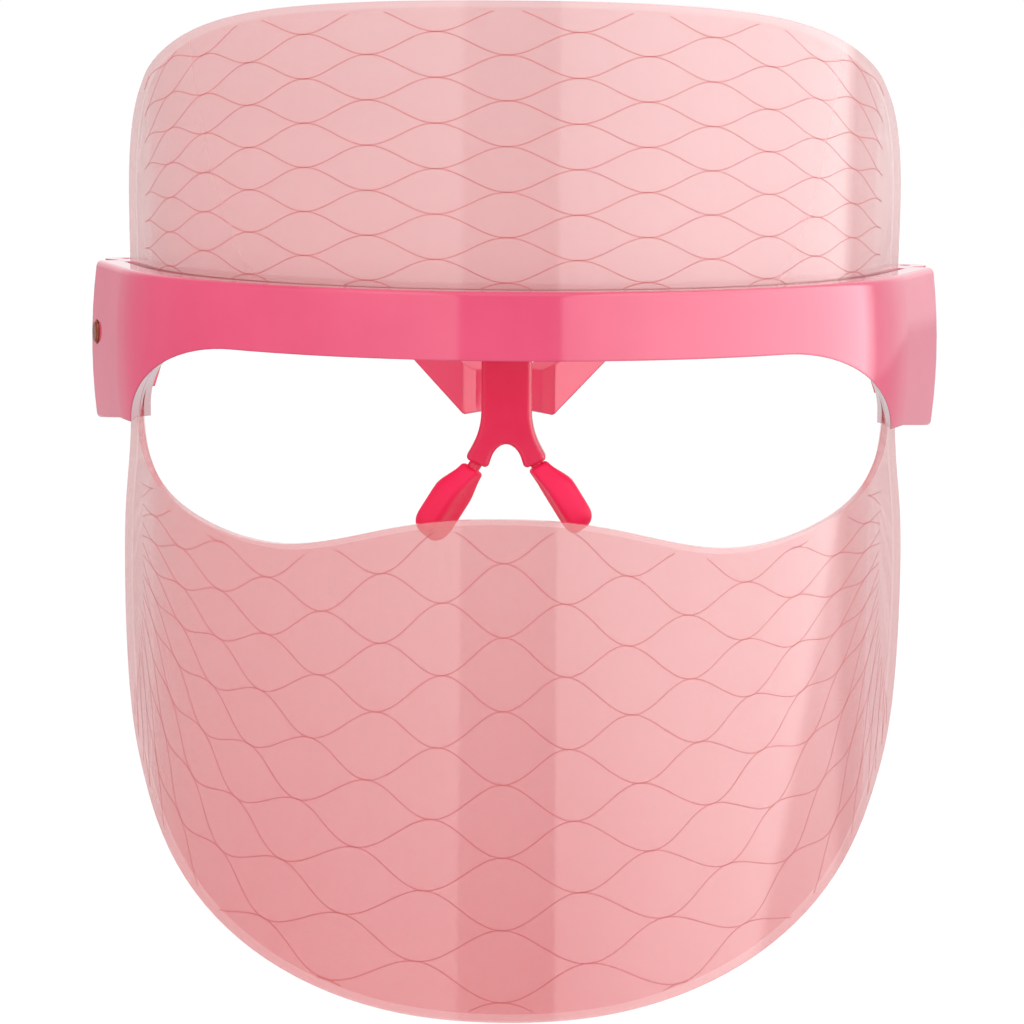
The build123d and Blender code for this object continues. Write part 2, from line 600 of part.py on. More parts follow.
PAD_EDGE_ROUND = 1.8
PAD_BORE_OVER = 0.3          # the bore is this much deeper than the spigot
PAD_DROP = 1.6               # from the foot's end to the top of the pad
PAD_CENTRE_BACK = 0.8        # the pad's middle lies this far behind the spigot
PAD_CENTRE_OUT = 1.2         # and this far out from it, away from the nose
for side, side_name in SIDES.items():
    base = spigot_plane(side)
    down = base.z_dir
    twist = radians(PAD_TWIST[side])
    # the pad's broad face looks across at the nose, turned a little to the front
    across_dir = Vector(-side * cos(radians(SPIGOT_LEAN)), 0, -sin(radians(SPIGOT_LEAN)))
    face_dir = across_dir * cos(twist) + Vector(0, -1, 0) * sin(twist)
    rearward = Vector(0, PAD_CENTRE_BACK, 0)
    centre = base.origin + down * (PAD_DROP + PAD_LONG / 2) + rearward - face_dir * PAD_CENTRE_OUT
    pad_plane = Plane(origin=centre, x_dir=down, z_dir=face_dir)
    with BuildPart() as nose_pad:
        with BuildSketch(pad_plane):
            Ellipse(PAD_LONG / 2, PAD_WIDE / 2)
        extrude(amount=PAD_THICK / 2, both=True)
        rims = nose_pad.faces().sort_by(Axis(centre, face_dir))
        fillet(rims[0].edges() + rims[-1].edges(), radius=PAD_EDGE_ROUND)
        with BuildSketch(base):
            Circle(SPIGOT_R + PAD_BORE_GAP)
        extrude(amount=SPIGOT_LENGTH + PAD_BORE_OVER, mode=Mode.SUBTRACT)
    finish(nose_pad, f"nose_pad_{side_name}")

# ---------------------------------------------------------------- folding temple arms
for side, side_name in SIDES.items():
    fold = radians(FOLD_ANGLE)
    inward = Vector(-side * cos(fold), -sin(fold), 0)
    hinge = Vector(side * HINGE_X, HINGE_Y, 0)
    with BuildPart() as temple_arm:
        # side view of the arm: deep at the hinge, level, then bent down behind the ear
        with BuildSketch(Plane(origin=hinge, x_dir=inward, z_dir=inward.cross(Vector(0, 0, 1)))):
            with BuildLine():
                Polyline(
                    (-KNUCKLE_R - 1, ARM_HEEL_LOW), *ARM_HEEL, (TIP_BEND, ARM_LOW),
                    (ARM_END - TIP_CORNER[0], TIP_LOW), (ARM_END, TIP_LOW + TIP_CORNER[1]),
                    (ARM_END, TIP_LOW + TIP_TALL), (TIP_BEND, ARM_TOP),
                    (-KNUCKLE_R - 1, ARM_TOP), close=True,
                )
            make_face()
        extrude(amount=3 * KNUCKLE_R, both=True)
        # plan of the arm: knuckle, neck round the tab's corner, straight blade, bevelled tip
        with BuildSketch(Plane(origin=hinge, x_dir=inward, z_dir=(0, 0, 1))):
            Circle(KNUCKLE_R)
            with BuildLine():
                Polyline(*[
                    (along, side * off) for along, off in (
                        (0, -KNUCKLE_R), (ARM_NECK_BACK, ARM_BACK), (ARM_END, ARM_BACK),
                        (ARM_END, ARM_FRONT - TIP_BEVEL[1]), (ARM_END - TIP_BEVEL[0], ARM_FRONT),
                        *ARM_NECK,
                    )
                ], close=True)
            make_face()
        extrude(amount=BAR_TOP, mode=Mode.INTERSECT)
        with BuildSketch(Plane(origin=hinge, x_dir=inward, z_dir=(0, 0, 1))):
            Circle(HINGE_PIN_R + PIN_CLEARANCE)
        extrude(amount=BAR_TOP, mode=Mode.SUBTRACT)
    finish(temple_arm, f"temple_arm_{side_name}")

    with BuildPart() as hinge_pin:
        with BuildSketch(Plane.XY.offset(TAB_BOTTOM + PIN_FLOOR)):
            with Locations((side * HINGE_X, HINGE_Y)):
                Circle(HINGE_PIN_R)
        extrude(amount=BAR_TOP - TAB_BOTTOM - PIN_FLOOR - PIN_SHORT)
        chamfer(hinge_pin.edges(), length=HINGE_PIN_R / 5)
    finish(hinge_pin, f"hinge_pin_{side_name}")

# ---------------------------------------------------------------- power button and its switch
LIP_FACE = FRONT_TOP_PROUD - WALL - 0.1   # the lip rests just under the cover's wall
LIP_DEEP = 0.8
SWITCH_BOARD_THICK = 0.6
SWITCH_BOARD_LOW = 0.25      # its underside, off the panel's outer face
SWITCH_BODY = 0.7
SWITCH_WIDE = 3.6
SWITCH_TALL = 4.4
DOME_R = 0.9
DOME_TALL = 0.2
BOARD_MARGIN = 0.5           # round the switch board in its pocket
CAP_ROUND = 0.6


def on_button_axis(proud):
    """Plane across the button's axis, with its place on it."""
    return leg_plane(-1, 0, proud), Locations(along_leg(-1, BUTTON_LEG, BUTTON_Z))


with BuildPart() as power_button:
    plane, place = on_button_axis(LIP_FACE)
    with BuildSketch(plane), place:
        Circle(BUTTON_R + BUTTON_LIP)
    extrude(amount=-LIP_DEEP)
    with BuildSketch(plane), place:
        Circle(BUTTON_R)
    extrude(amount=BUTTON_FACE - LIP_FACE)
    cap = power_button.faces().sort_by(Axis((0, 0, 0), leg_plane(-1).z_dir))[-1]
    fillet(cap.edges(), radius=CAP_ROUND)
finish(power_button, "power_button")

with BuildPart() as button_board:
    plane, place = on_button_axis(SWITCH_BOARD_LOW)
    with BuildSketch(plane), place:
        Rectangle(POCKET_TALL - 2 * BOARD_MARGIN, POCKET_LONG - 2 * BOARD_MARGIN)
    extrude(amount=SWITCH_BOARD_THICK)
finish(button_board, "button_board")

with BuildPart() as power_switch:
    plane, place = on_button_axis(SWITCH_BOARD_LOW + SWITCH_BOARD_THICK)
    with BuildSketch(plane), place:
        Rectangle(SWITCH_TALL, SWITCH_WIDE)
    extrude(amount=SWITCH_BODY)
    with BuildSketch(plane.offset(SWITCH_BODY)), place:
        Circle(DOME_R)
    extrude(amount=DOME_TALL)
finish(power_switch, "power_switch")

# ---------------------------------------------------------------- board, battery and port
CELL_LOW = FLANGE_LOW + 0.4
CELL_LONG = 30.0
CELL_TALL = 8.6
CELL_THICK = 6.0
CELL_ROUND = 1.2
CELL_RADIUS = 72.6           # middle of the cell, from the bending axis
FOAM_THICK = 1.0
FOAM_MARGIN = 0.6            # above and below the foam on the cell's face
FOAM_LONG = 26.0
CHIP_WIDE = 5.0
CHIP_THICK = 1.0
CHIP_ALONG = 10.5            # from the middle of the board
CHIP_LOW = CELL_LOW + 2.0

with BuildPart() as battery:
    with BuildSketch(turned_plane(-CELL_ANGLE, CELL_RADIUS, CELL_LOW)):
        RectangleRounded(CELL_LONG, CELL_THICK, CELL_ROUND)
    extrude(amount=CELL_TALL)
finish(battery, "battery")

with BuildPart() as battery_foam:
    foam_radius = CELL_RADIUS + (CELL_THICK + FOAM_THICK) / 2
    with BuildSketch(turned_plane(-CELL_ANGLE, foam_radius, CELL_LOW + FOAM_MARGIN)):
        Rectangle(FOAM_LONG, FOAM_THICK)
    extrude(amount=CELL_TALL - 2 * FOAM_MARGIN)
finish(battery_foam, "battery_foam")

with BuildPart() as main_board:
    with BuildSketch(turned_plane(CELL_ANGLE, BOARD_RADIUS, CELL_LOW)):
        Rectangle(CELL_LONG, BOARD_THICK)
    extrude(amount=CELL_TALL)
finish(main_board, "main_board")

with BuildPart() as controller_chip:
    chip_radius = BOARD_RADIUS - (BOARD_THICK + CHIP_THICK) / 2
    with BuildSketch(turned_plane(CELL_ANGLE, chip_radius, CHIP_LOW)):
        with Locations((CHIP_ALONG, 0)):
            Rectangle(CHIP_WIDE, CHIP_THICK)
    extrude(amount=CHIP_WIDE)
finish(controller_chip, "controller_chip")

with BuildPart() as charging_socket:
    with BuildSketch(turned_plane(PORT_ANGLE, PORT_RADIUS, SOCKET_LOW)):
        RectangleRounded(PORT_WIDE, PORT_DEEP, PORT_ROUND)
    extrude(amount=PORT_TALL)
    with BuildSketch(turned_plane(PORT_ANGLE, PORT_RADIUS, SOCKET_LOW)):
        RectangleRounded(PORT_WIDE - 2 * PORT_WALL, PORT_DEEP - 2 * PORT_WALL, PORT_ROUND - PORT_WALL)
    extrude(amount=PORT_TALL - PORT_END, mode=Mode.SUBTRACT)
    # contact tongue
    with BuildSketch(turned_plane(PORT_ANGLE, PORT_RADIUS, SOCKET_LOW + PORT_END)):
        Rectangle(TONGUE_WIDE, TONGUE_THICK)
    extrude(amount=PORT_TALL - 1.5 * PORT_END)
finish(charging_socket, "charging_socket")

# ---------------------------------------------------------------- light sources
LED_COUNT = 11
LED_HALF_ANGLE = 56.0
UPPER_BOARD_Z = 33.0
UPPER_BOARD_HALF_ANGLE = 58.0
UPPER_BOARD_EDGES = (1.0, -3.2)   # its outer and inner edge, off the panel's outer face
LED_LONG = 3.5
LED_WIDE = 1.6
UPPER_LED_TALL = 1.8
SIDE_LED_TALL = 1.4
SHEET_MIDDLE = SHEET_RADIUS - SHEET_THICK / 2
led_angles = [LED_HALF_ANGLE * (2 * i / (LED_COUNT - 1) - 1) for i in range(LED_COUNT)]

with BuildPart() as upper_led_board:
    with BuildSketch(Plane.XY.offset(UPPER_BOARD_Z)):
        with BuildLine():
            ends = (-UPPER_BOARD_HALF_ANGLE, UPPER_BOARD_HALF_ANGLE)
            for proud in UPPER_BOARD_EDGES:
                ThreePointArc(on_arc(ends[0], proud), on_arc(0, proud), on_arc(ends[1], proud))
            for angle in ends:
                Line(*[on_arc(angle, proud) for proud in UPPER_BOARD_EDGES])
        make_face()
    extrude(amount=BOARD_THICK)
finish(upper_led_board, "upper_led_board")

with BuildPart() as upper_leds:
    for angle in led_angles:
        with BuildSketch(turned_plane(angle, SHEET_MIDDLE, UPPER_BOARD_Z + BOARD_THICK)):
            Rectangle(LED_LONG, LED_WIDE)
        extrude(amount=UPPER_LED_TALL)
finish(upper_leds, "upper_leds")

SIDE_BOARD_LEG = 17.0
SIDE_LED_HEIGHTS = (19.0, 24.5, 30.0, 35.5)
SIDE_BOARD_WIDE = 2.4
SIDE_BOARD_TALL = 24.0
SIDE_BOARD_MIDDLE = (SHEET_RADIUS - SIDE_BOARD_WIDE / 2, 27.5)
for side, side_name in SIDES.items():
    board_plane = station(side * ARC_HALF_ANGLE, SIDE_BOARD_LEG)
    with BuildPart() as side_led_board:
        with BuildSketch(board_plane):
            with Locations(SIDE_BOARD_MIDDLE):
                Rectangle(SIDE_BOARD_WIDE, SIDE_BOARD_TALL)
        extrude(amount=-side * BOARD_THICK)
    finish(side_led_board, f"side_led_board_{side_name}")
    with BuildPart() as side_leds:
        with BuildSketch(board_plane):
            for height in SIDE_LED_HEIGHTS:
                with Locations((SHEET_MIDDLE, height)):
                    Rectangle(LED_WIDE, LED_LONG)
        extrude(amount=side * SIDE_LED_TALL)
    finish(side_leds, f"side_leds_{side_name}")

# ---------------------------------------------------------------- leads inside the bar
LEAD_R = 0.45
LEAD_Z = 40.6
# each battery wire's ends: angle round the bending axis, distance off the panel's outer face
BATTERY_LEADS = [((-5.5, -6.0), (7.0, -5.0)), ((-5.5, -8.0), (7.0, -7.0))]
SIDE_LEAD_PROUD = 2.2
SIDE_LEAD_START = 24.0       # degrees round the bending axis
SIDE_LEAD_LEG = 16.5         # it ends this far along the leg


def lead_section(start, ahead):
    """Round wire section at a plan point, facing along the wire."""
    return Plane(origin=(*start, LEAD_Z), z_dir=(*ahead, 0))


with BuildPart() as battery_leads:
    # two wires bridge the middle of the bar, from the cell to the board
    for wire_start, wire_end in BATTERY_LEADS:
        start, end = on_arc(*wire_start), on_arc(*wire_end)
        with BuildLine():
            Line((*start, LEAD_Z), (*end, LEAD_Z))
        with BuildSketch(lead_section(start, (end[0] - start[0], end[1] - start[1]))):
            Circle(LEAD_R)
        sweep()
finish(battery_leads, "battery_leads")

with BuildPart() as side_leads:
    # one wire each way along the front cover's channel, out to the side boards
    for side in SIDES:
        start = on_arc(side * SIDE_LEAD_START, SIDE_LEAD_PROUD)
        halfway = on_arc(side * (SIDE_LEAD_START + ARC_HALF_ANGLE) / 2, SIDE_LEAD_PROUD)
        leg_start = leg_end(side, SIDE_LEAD_PROUD, 0)
        leg_stop = leg_end(side, SIDE_LEAD_PROUD, SIDE_LEAD_LEG)
        with BuildLine():
            ThreePointArc((*start, LEAD_Z), (*halfway, LEAD_Z), (*leg_start, LEAD_Z))
            Line((*leg_start, LEAD_Z), (*leg_stop, LEAD_Z))
        heading = radians(SIDE_LEAD_START)
        with BuildSketch(lead_section(start, (side * cos(heading), sin(heading)))):
            Circle(LEAD_R)
        sweep()
finish(side_leads, "side_leads")
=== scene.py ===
"""Looks of the light-therapy face shield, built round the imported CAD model. Metres throughout."""

import json
from math import cos, pi, radians, sin

import bmesh
import bpy
from mathutils import Matrix, Vector
from mathutils.bvhtree import BVHTree


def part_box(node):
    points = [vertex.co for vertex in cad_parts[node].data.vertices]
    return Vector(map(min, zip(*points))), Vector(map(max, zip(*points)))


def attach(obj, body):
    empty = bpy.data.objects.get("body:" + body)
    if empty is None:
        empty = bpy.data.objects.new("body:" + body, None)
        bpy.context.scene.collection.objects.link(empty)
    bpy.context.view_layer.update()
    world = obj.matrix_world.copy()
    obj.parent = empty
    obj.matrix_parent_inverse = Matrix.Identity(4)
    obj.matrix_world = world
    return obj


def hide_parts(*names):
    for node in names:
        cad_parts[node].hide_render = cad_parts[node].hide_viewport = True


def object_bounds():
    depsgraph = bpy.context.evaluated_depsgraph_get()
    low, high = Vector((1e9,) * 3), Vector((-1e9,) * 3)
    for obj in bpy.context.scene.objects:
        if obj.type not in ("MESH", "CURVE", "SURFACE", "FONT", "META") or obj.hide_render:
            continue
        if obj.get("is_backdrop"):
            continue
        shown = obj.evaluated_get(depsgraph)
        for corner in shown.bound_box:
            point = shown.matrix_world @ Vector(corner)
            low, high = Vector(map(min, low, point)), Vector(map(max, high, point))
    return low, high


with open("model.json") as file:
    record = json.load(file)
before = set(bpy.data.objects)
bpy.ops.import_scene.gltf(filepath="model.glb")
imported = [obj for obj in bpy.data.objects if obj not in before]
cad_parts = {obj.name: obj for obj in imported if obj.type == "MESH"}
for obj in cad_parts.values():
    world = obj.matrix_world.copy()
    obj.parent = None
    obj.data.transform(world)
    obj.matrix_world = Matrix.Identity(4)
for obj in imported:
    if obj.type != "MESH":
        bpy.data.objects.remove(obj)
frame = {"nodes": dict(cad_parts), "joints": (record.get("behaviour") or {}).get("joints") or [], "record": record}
cad_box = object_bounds()

MM = 0.001
SIDES = {"left": -1, "right": 1}

# the bent sheet, as the CAD has it: an arc about an upright axis, with straight legs tangent to its ends
SHEET_RADIUS = 82 * MM
SHEET_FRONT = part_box("visor_panel")[0].y
SHEET_AXIS_Y = SHEET_FRONT + SHEET_RADIUS
ARC_HALF_ANGLE = radians(70)
ARC_LENGTH = SHEET_RADIUS * ARC_HALF_ANGLE
SHEET_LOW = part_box("visor_panel")[0].z
SHEET_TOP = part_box("visor_panel")[1].z
BAR_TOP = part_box("front_cover")[1].z
TAB_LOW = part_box("front_cover")[0].z


# ---------------------------------------------------------------- camera
CAMERA_AZIMUTH = radians(1.15)
CAMERA_ELEVATION = radians(7.9)
CAMERA_ROLL = radians(0.43)
CAMERA_DISTANCE = 0.7
CAMERA_TARGET = Vector((1.45 * MM, SHEET_FRONT, 0))
CAMERA_LENS = 125.5
CAMERA_SENSOR = 36


def make_camera():
    """Long lens, a little above the eye opening, square to the front."""
    data = bpy.data.cameras.new("camera")
    data.sensor_width = CAMERA_SENSOR
    data.lens = CAMERA_LENS
    data.clip_end = 50
    camera = bpy.data.objects.new("camera", data)
    bpy.context.scene.collection.objects.link(camera)
    level = cos(CAMERA_ELEVATION)
    back = Vector((sin(CAMERA_AZIMUTH) * level, -cos(CAMERA_AZIMUTH) * level, sin(CAMERA_ELEVATION)))
    turn = back.to_track_quat("Z", "Y").to_matrix() @ Matrix.Rotation(CAMERA_ROLL, 3, "Z")
    camera.matrix_world = Matrix.Translation(CAMERA_TARGET + back * CAMERA_DISTANCE) @ turn.to_4x4()
    bpy.context.scene.camera = camera


# ---------------------------------------------------------------- stage and light
FLOOR_DROP = 0.75            # the shield hangs this far above the floor
FLOOR_HALF = 30
FLOOR_GLOW = 0.07            # brings the floor up to the backdrop's white
ROOM_MIRRORED = 0.25         # what shiny surfaces see of the room, except for what follows

# The backdrop and the cards are placed by X, Y and Z of the direction in which they are seen.
BACKDROP_FADE = (0.50, 0.95)         # Y over which the backdrop comes up to full white
BACKDROP_BELOW = 0.5                 # its brightness under the horizon
BACKDROP_HORIZON = (-0.02, 0.04)
BACKDROP_LEFT = 0.45                 # its brightness at the far left
BACKDROP_LEFT_FADE = (-0.75, -0.4)
CARD_EDGE = 0.25                     # white cards stand to both sides, beyond this X
CARD_EDGE_SOFT = 0.02
LEFT_CARD = (1.0, 0.1)               # brightness at its inner and outer edge
LEFT_CARD_FADE = (0.1, -0.3)         # Y over which it comes up, towards the front
RIGHT_CARD = (1.3, 3.2)
RIGHT_CARD_OUTER = 0.95
RIGHT_CARD_REAR = 0.42               # it fades beyond this Y, and lower down further forward
RIGHT_CARD_REAR_SOFT = 0.1
RIGHT_CARD_BEYOND = 0.2              # what is left of it past that fade
RIGHT_CARD_SLANT = 4.8               # Y for each Z
RIGHT_CARD_SLANT_Z = -0.14           # where the slanted end meets the upright one
RIGHT_CARD_SLANT_SOFT = 0.04
RIGHT_CARD_UNDER = 0.4               # what is left of it past the slanted end


def make_floor():
    """Plain pale floor."""
    mesh = bpy.data.meshes.new("floor")
    z = SHEET_LOW - FLOOR_DROP
    corners = [(x * FLOOR_HALF, y * FLOOR_HALF, z) for x, y in ((-1, -1), (1, -1), (1, 1), (-1, 1))]
    mesh.from_pydata(corners, [], [(0, 1, 2, 3)])
    floor = bpy.data.objects.new("floor", mesh)
    bpy.context.scene.collection.objects.link(floor)
    paint = bpy.data.materials.new("floor")
    paint.use_nodes = True
    shader = paint.node_tree.nodes["Principled BSDF"]
    shader.inputs["Base Color"].default_value = (0.96, 0.96, 0.96, 1)
    shader.inputs["Roughness"].default_value = 0.9
    shader.inputs["Specular IOR Level"].default_value = 0.1
    shader.inputs["Emission Color"].default_value = (1, 1, 1, 1)
    shader.inputs["Emission Strength"].default_value = FLOOR_GLOW
    mesh.materials.append(paint)
    floor.visible_glossy = False
    floor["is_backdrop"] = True


def softbox(name, elevation, distance, wide, deep, power):
    """Rectangular light above, facing the shield."""
    data = bpy.data.lights.new(name, "AREA")
    data.shape = "RECTANGLE"
    data.size = wide
    data.size_y = deep
    data.energy = power
    light = bpy.data.objects.new(name, data)
    bpy.context.scene.collection.objects.link(light)
    away = Vector((0, -cos(elevation), sin(elevation)))
    light.location = away * distance
    light.rotation_euler = away.to_track_quat("Z", "Y").to_euler()
    light.visible_camera = False
    light.visible_transmission = False


def calculate(tree, operation, first, *others):
    """Chain of one Math operation over sockets and plain numbers."""
    for other in others:
        node = tree.nodes.new("ShaderNodeMath")
        node.operation = operation
        for socket, value in zip(node.inputs, (first, other)):
            if isinstance(value, bpy.types.NodeSocket):
                tree.links.new(value, socket)
            else:
                socket.default_value = value
        first = node.outputs["Value"]
    return first


def make_world():
    """Even white room. Shiny surfaces see it dim, with two white cards and the backdrop behind the shield."""
    world = bpy.data.worlds.new("studio")
    world.use_nodes = True
    tree = world.node_tree
    parts = tree.nodes.new("ShaderNodeSeparateXYZ")
    tree.links.new(tree.nodes.new("ShaderNodeTexCoord").outputs["Generated"], parts.inputs["Vector"])
    x, y, z = parts.outputs
    backdrop = calculate(
        tree, "MULTIPLY",
        spread(tree, y, 0, 1 - ROOM_MIRRORED, *BACKDROP_FADE),
        spread(tree, z, BACKDROP_BELOW, 1, *BACKDROP_HORIZON),
        spread(tree, x, BACKDROP_LEFT, 1, *BACKDROP_LEFT_FADE),
    )
    left_card = calculate(
        tree, "MULTIPLY",
        spread(tree, x, *LEFT_CARD, -CARD_EDGE, -1),
        spread(tree, x, 0, 1, CARD_EDGE_SOFT - CARD_EDGE, -CARD_EDGE),
        spread(tree, y, 0, 1, *LEFT_CARD_FADE),
    )
    slant = calculate(tree, "SUBTRACT", y, calculate(tree, "MULTIPLY", z, RIGHT_CARD_SLANT))
    slant_end = RIGHT_CARD_REAR - RIGHT_CARD_SLANT_Z * RIGHT_CARD_SLANT
    slant_fade = (slant_end - RIGHT_CARD_SLANT_SOFT, slant_end + RIGHT_CARD_SLANT_SOFT)
    rear_fade = (RIGHT_CARD_REAR, RIGHT_CARD_REAR + RIGHT_CARD_REAR_SOFT)
    right_card = calculate(
        tree, "MULTIPLY",
        spread(tree, x, *RIGHT_CARD, CARD_EDGE, RIGHT_CARD_OUTER),
        spread(tree, x, 0, 1, CARD_EDGE - CARD_EDGE_SOFT, CARD_EDGE),
        spread(tree, y, 1, RIGHT_CARD_BEYOND, *rear_fade),
        spread(tree, slant, 1, RIGHT_CARD_UNDER, *slant_fade),
    )
    mirrored = calculate(tree, "ADD", ROOM_MIRRORED, backdrop, left_card, right_card)
    strength = tree.nodes.new("ShaderNodeMix")
    strength.inputs["A"].default_value = 1
    tree.links.new(tree.nodes.new("ShaderNodeLightPath").outputs["Is Glossy Ray"], strength.inputs["Factor"])
    tree.links.new(mirrored, strength.inputs["B"])
    tree.nodes["Background"].inputs["Color"].default_value = (1, 1, 1, 1)
    tree.links.new(strength.outputs["Result"], tree.nodes["Background"].inputs["Strength"])
    bpy.context.scene.world = world


def make_light():
    """White room, with a softbox above."""
    make_world()
    bpy.context.scene.view_settings.view_transform = "Standard"
    softbox("softbox_above", elevation=radians(75), distance=1.5, wide=2.0, deep=1.6, power=5)


# ---------------------------------------------------------------- materials
EDGE_SAMPLES = 6
SHEET_IOR = 1.58
SHEET_COAT_ROUGH = 0.03
SHEET_ROUGH = (0.03, 0.07)
SHEET_FLOW = 0.12            # how much a sheet's faint flow lightens it
SHEET_FLOW_TINT = 1.12       # brightness of the flow against the sheet's upper tint
SHEET_WARP = 0.02 * MM


def shader_of(name):
    """New node material: its tree, its Principled shader and its object coordinates."""
    paint = bpy.data.materials.new(name)
    paint.use_nodes = True
    tree = paint.node_tree
    place = tree.nodes.new("ShaderNodeTexCoord").outputs["Object"]
    return paint, tree, tree.nodes["Principled BSDF"], place


def noise(tree, place, scale, detail=3.0):
    """Noise texture with that many features to the metre."""
    node = tree.nodes.new("ShaderNodeTexNoise")
    node.inputs["Scale"].default_value = scale
    node.inputs["Detail"].default_value = detail
    tree.links.new(place, node.inputs["Vector"])
    return node.outputs["Fac"]


def spread(tree, value, low, high, start=0.3, end=0.7):
    """Map start to end, which by default is a texture's middle range, onto low to high, and stop there."""
    node = tree.nodes.new("ShaderNodeMapRange")
    node.inputs["From Min"].default_value = start
    node.inputs["From Max"].default_value = end
    node.inputs["To Min"].default_value = low
    node.inputs["To Max"].default_value = high
    tree.links.new(value, node.inputs["Value"])
    return node.outputs["Result"]


def blend_colour(tree, factor, first, second):
    """Colour between two, by a factor. Either may be a socket or a plain colour."""
    node = tree.nodes.new("ShaderNodeMix")
    node.data_type = "RGBA"
    tree.links.new(factor, node.inputs["Factor"])
    for socket, colour in ((node.inputs[6], first), (node.inputs[7], second)):
        if isinstance(colour, bpy.types.NodeSocket):
            tree.links.new(colour, socket)
        else:
            socket.default_value = (*colour, 1)
    return node.outputs[2]


def relief(tree, shader, layers, edge=0):
    """Chain bumps: (texture, depth in metres). Sharp edges look rounded by the radius edge."""
    normal = None
    if edge:
        rounding = tree.nodes.new("ShaderNodeBevel")
        rounding.samples = EDGE_SAMPLES
        rounding.inputs["Radius"].default_value = edge
        normal = rounding.outputs["Normal"]
    for texture, depth in layers:
        bump = tree.nodes.new("ShaderNodeBump")
        bump.inputs["Strength"].default_value = 1.0
        bump.inputs["Distance"].default_value = depth
        tree.links.new(texture, bump.inputs["Height"])
        if normal is not None:
            tree.links.new(normal, bump.inputs["Normal"])
        normal = bump.outputs["Normal"]
    tree.links.new(normal, shader.inputs["Normal"])


def plastic(name, dark, light, rough, swirl=60, grain=2500, depth=0.004 * MM, edge=0, **sockets):
    """Moulded plastic: faint colour swirl, uneven gloss, a fine surface and softened edges."""
    paint, tree, shader, place = shader_of(name)
    flow = noise(tree, place, swirl)
    tree.links.new(blend_colour(tree, spread(tree, flow, 0, 1), dark, light), shader.inputs["Base Color"])
    tree.links.new(spread(tree, noise(tree, place, swirl * 4), *rough), shader.inputs["Roughness"])
    relief(tree, shader, [(noise(tree, place, grain), depth)], edge)
    for socket, value in sockets.items():
        shader.inputs[socket.replace("_", " ")].default_value = value
    return paint


def clear_sheet(name, low, high, alpha, coat):
    """See-through tinted sheet with a faint flow in it; painted light makes it paler towards the top, painted
    shade darker and redder towards the bottom.
    """
    paint, tree, shader, place = shader_of(name)
    parts = tree.nodes.new("ShaderNodeSeparateXYZ")
    tree.links.new(place, parts.inputs["Vector"])
    # painted light and shade: by height, the colour runs from the shaded low colour at the bottom to the lit high
    # colour at the top
    height = spread(tree, parts.outputs["Z"], 0, 1, SHEET_LOW, SHEET_TOP)
    tint_and_painted_light = blend_colour(tree, height, low, high)
    flow = spread(tree, noise(tree, place, 14), 0, SHEET_FLOW)
    lighter = [c * SHEET_FLOW_TINT for c in high]
    tree.links.new(blend_colour(tree, flow, tint_and_painted_light, lighter), shader.inputs["Base Color"])
    tree.links.new(spread(tree, noise(tree, place, 45), *SHEET_ROUGH), shader.inputs["Roughness"])
    relief(tree, shader, [(noise(tree, place, 22, 0), SHEET_WARP)])
    shader.inputs["Alpha"].default_value = alpha
    shader.inputs["Coat Weight"].default_value = coat
    shader.inputs["Coat Roughness"].default_value = SHEET_COAT_ROUGH
    shader.inputs["IOR"].default_value = SHEET_IOR
    return paint


def metal(name, dark, light, rough, swirl=300):
    """Plated metal with a fine uneven finish."""
    return plastic(name, dark, light, rough, swirl, 6000, 0.003 * MM, Metallic=1.0)


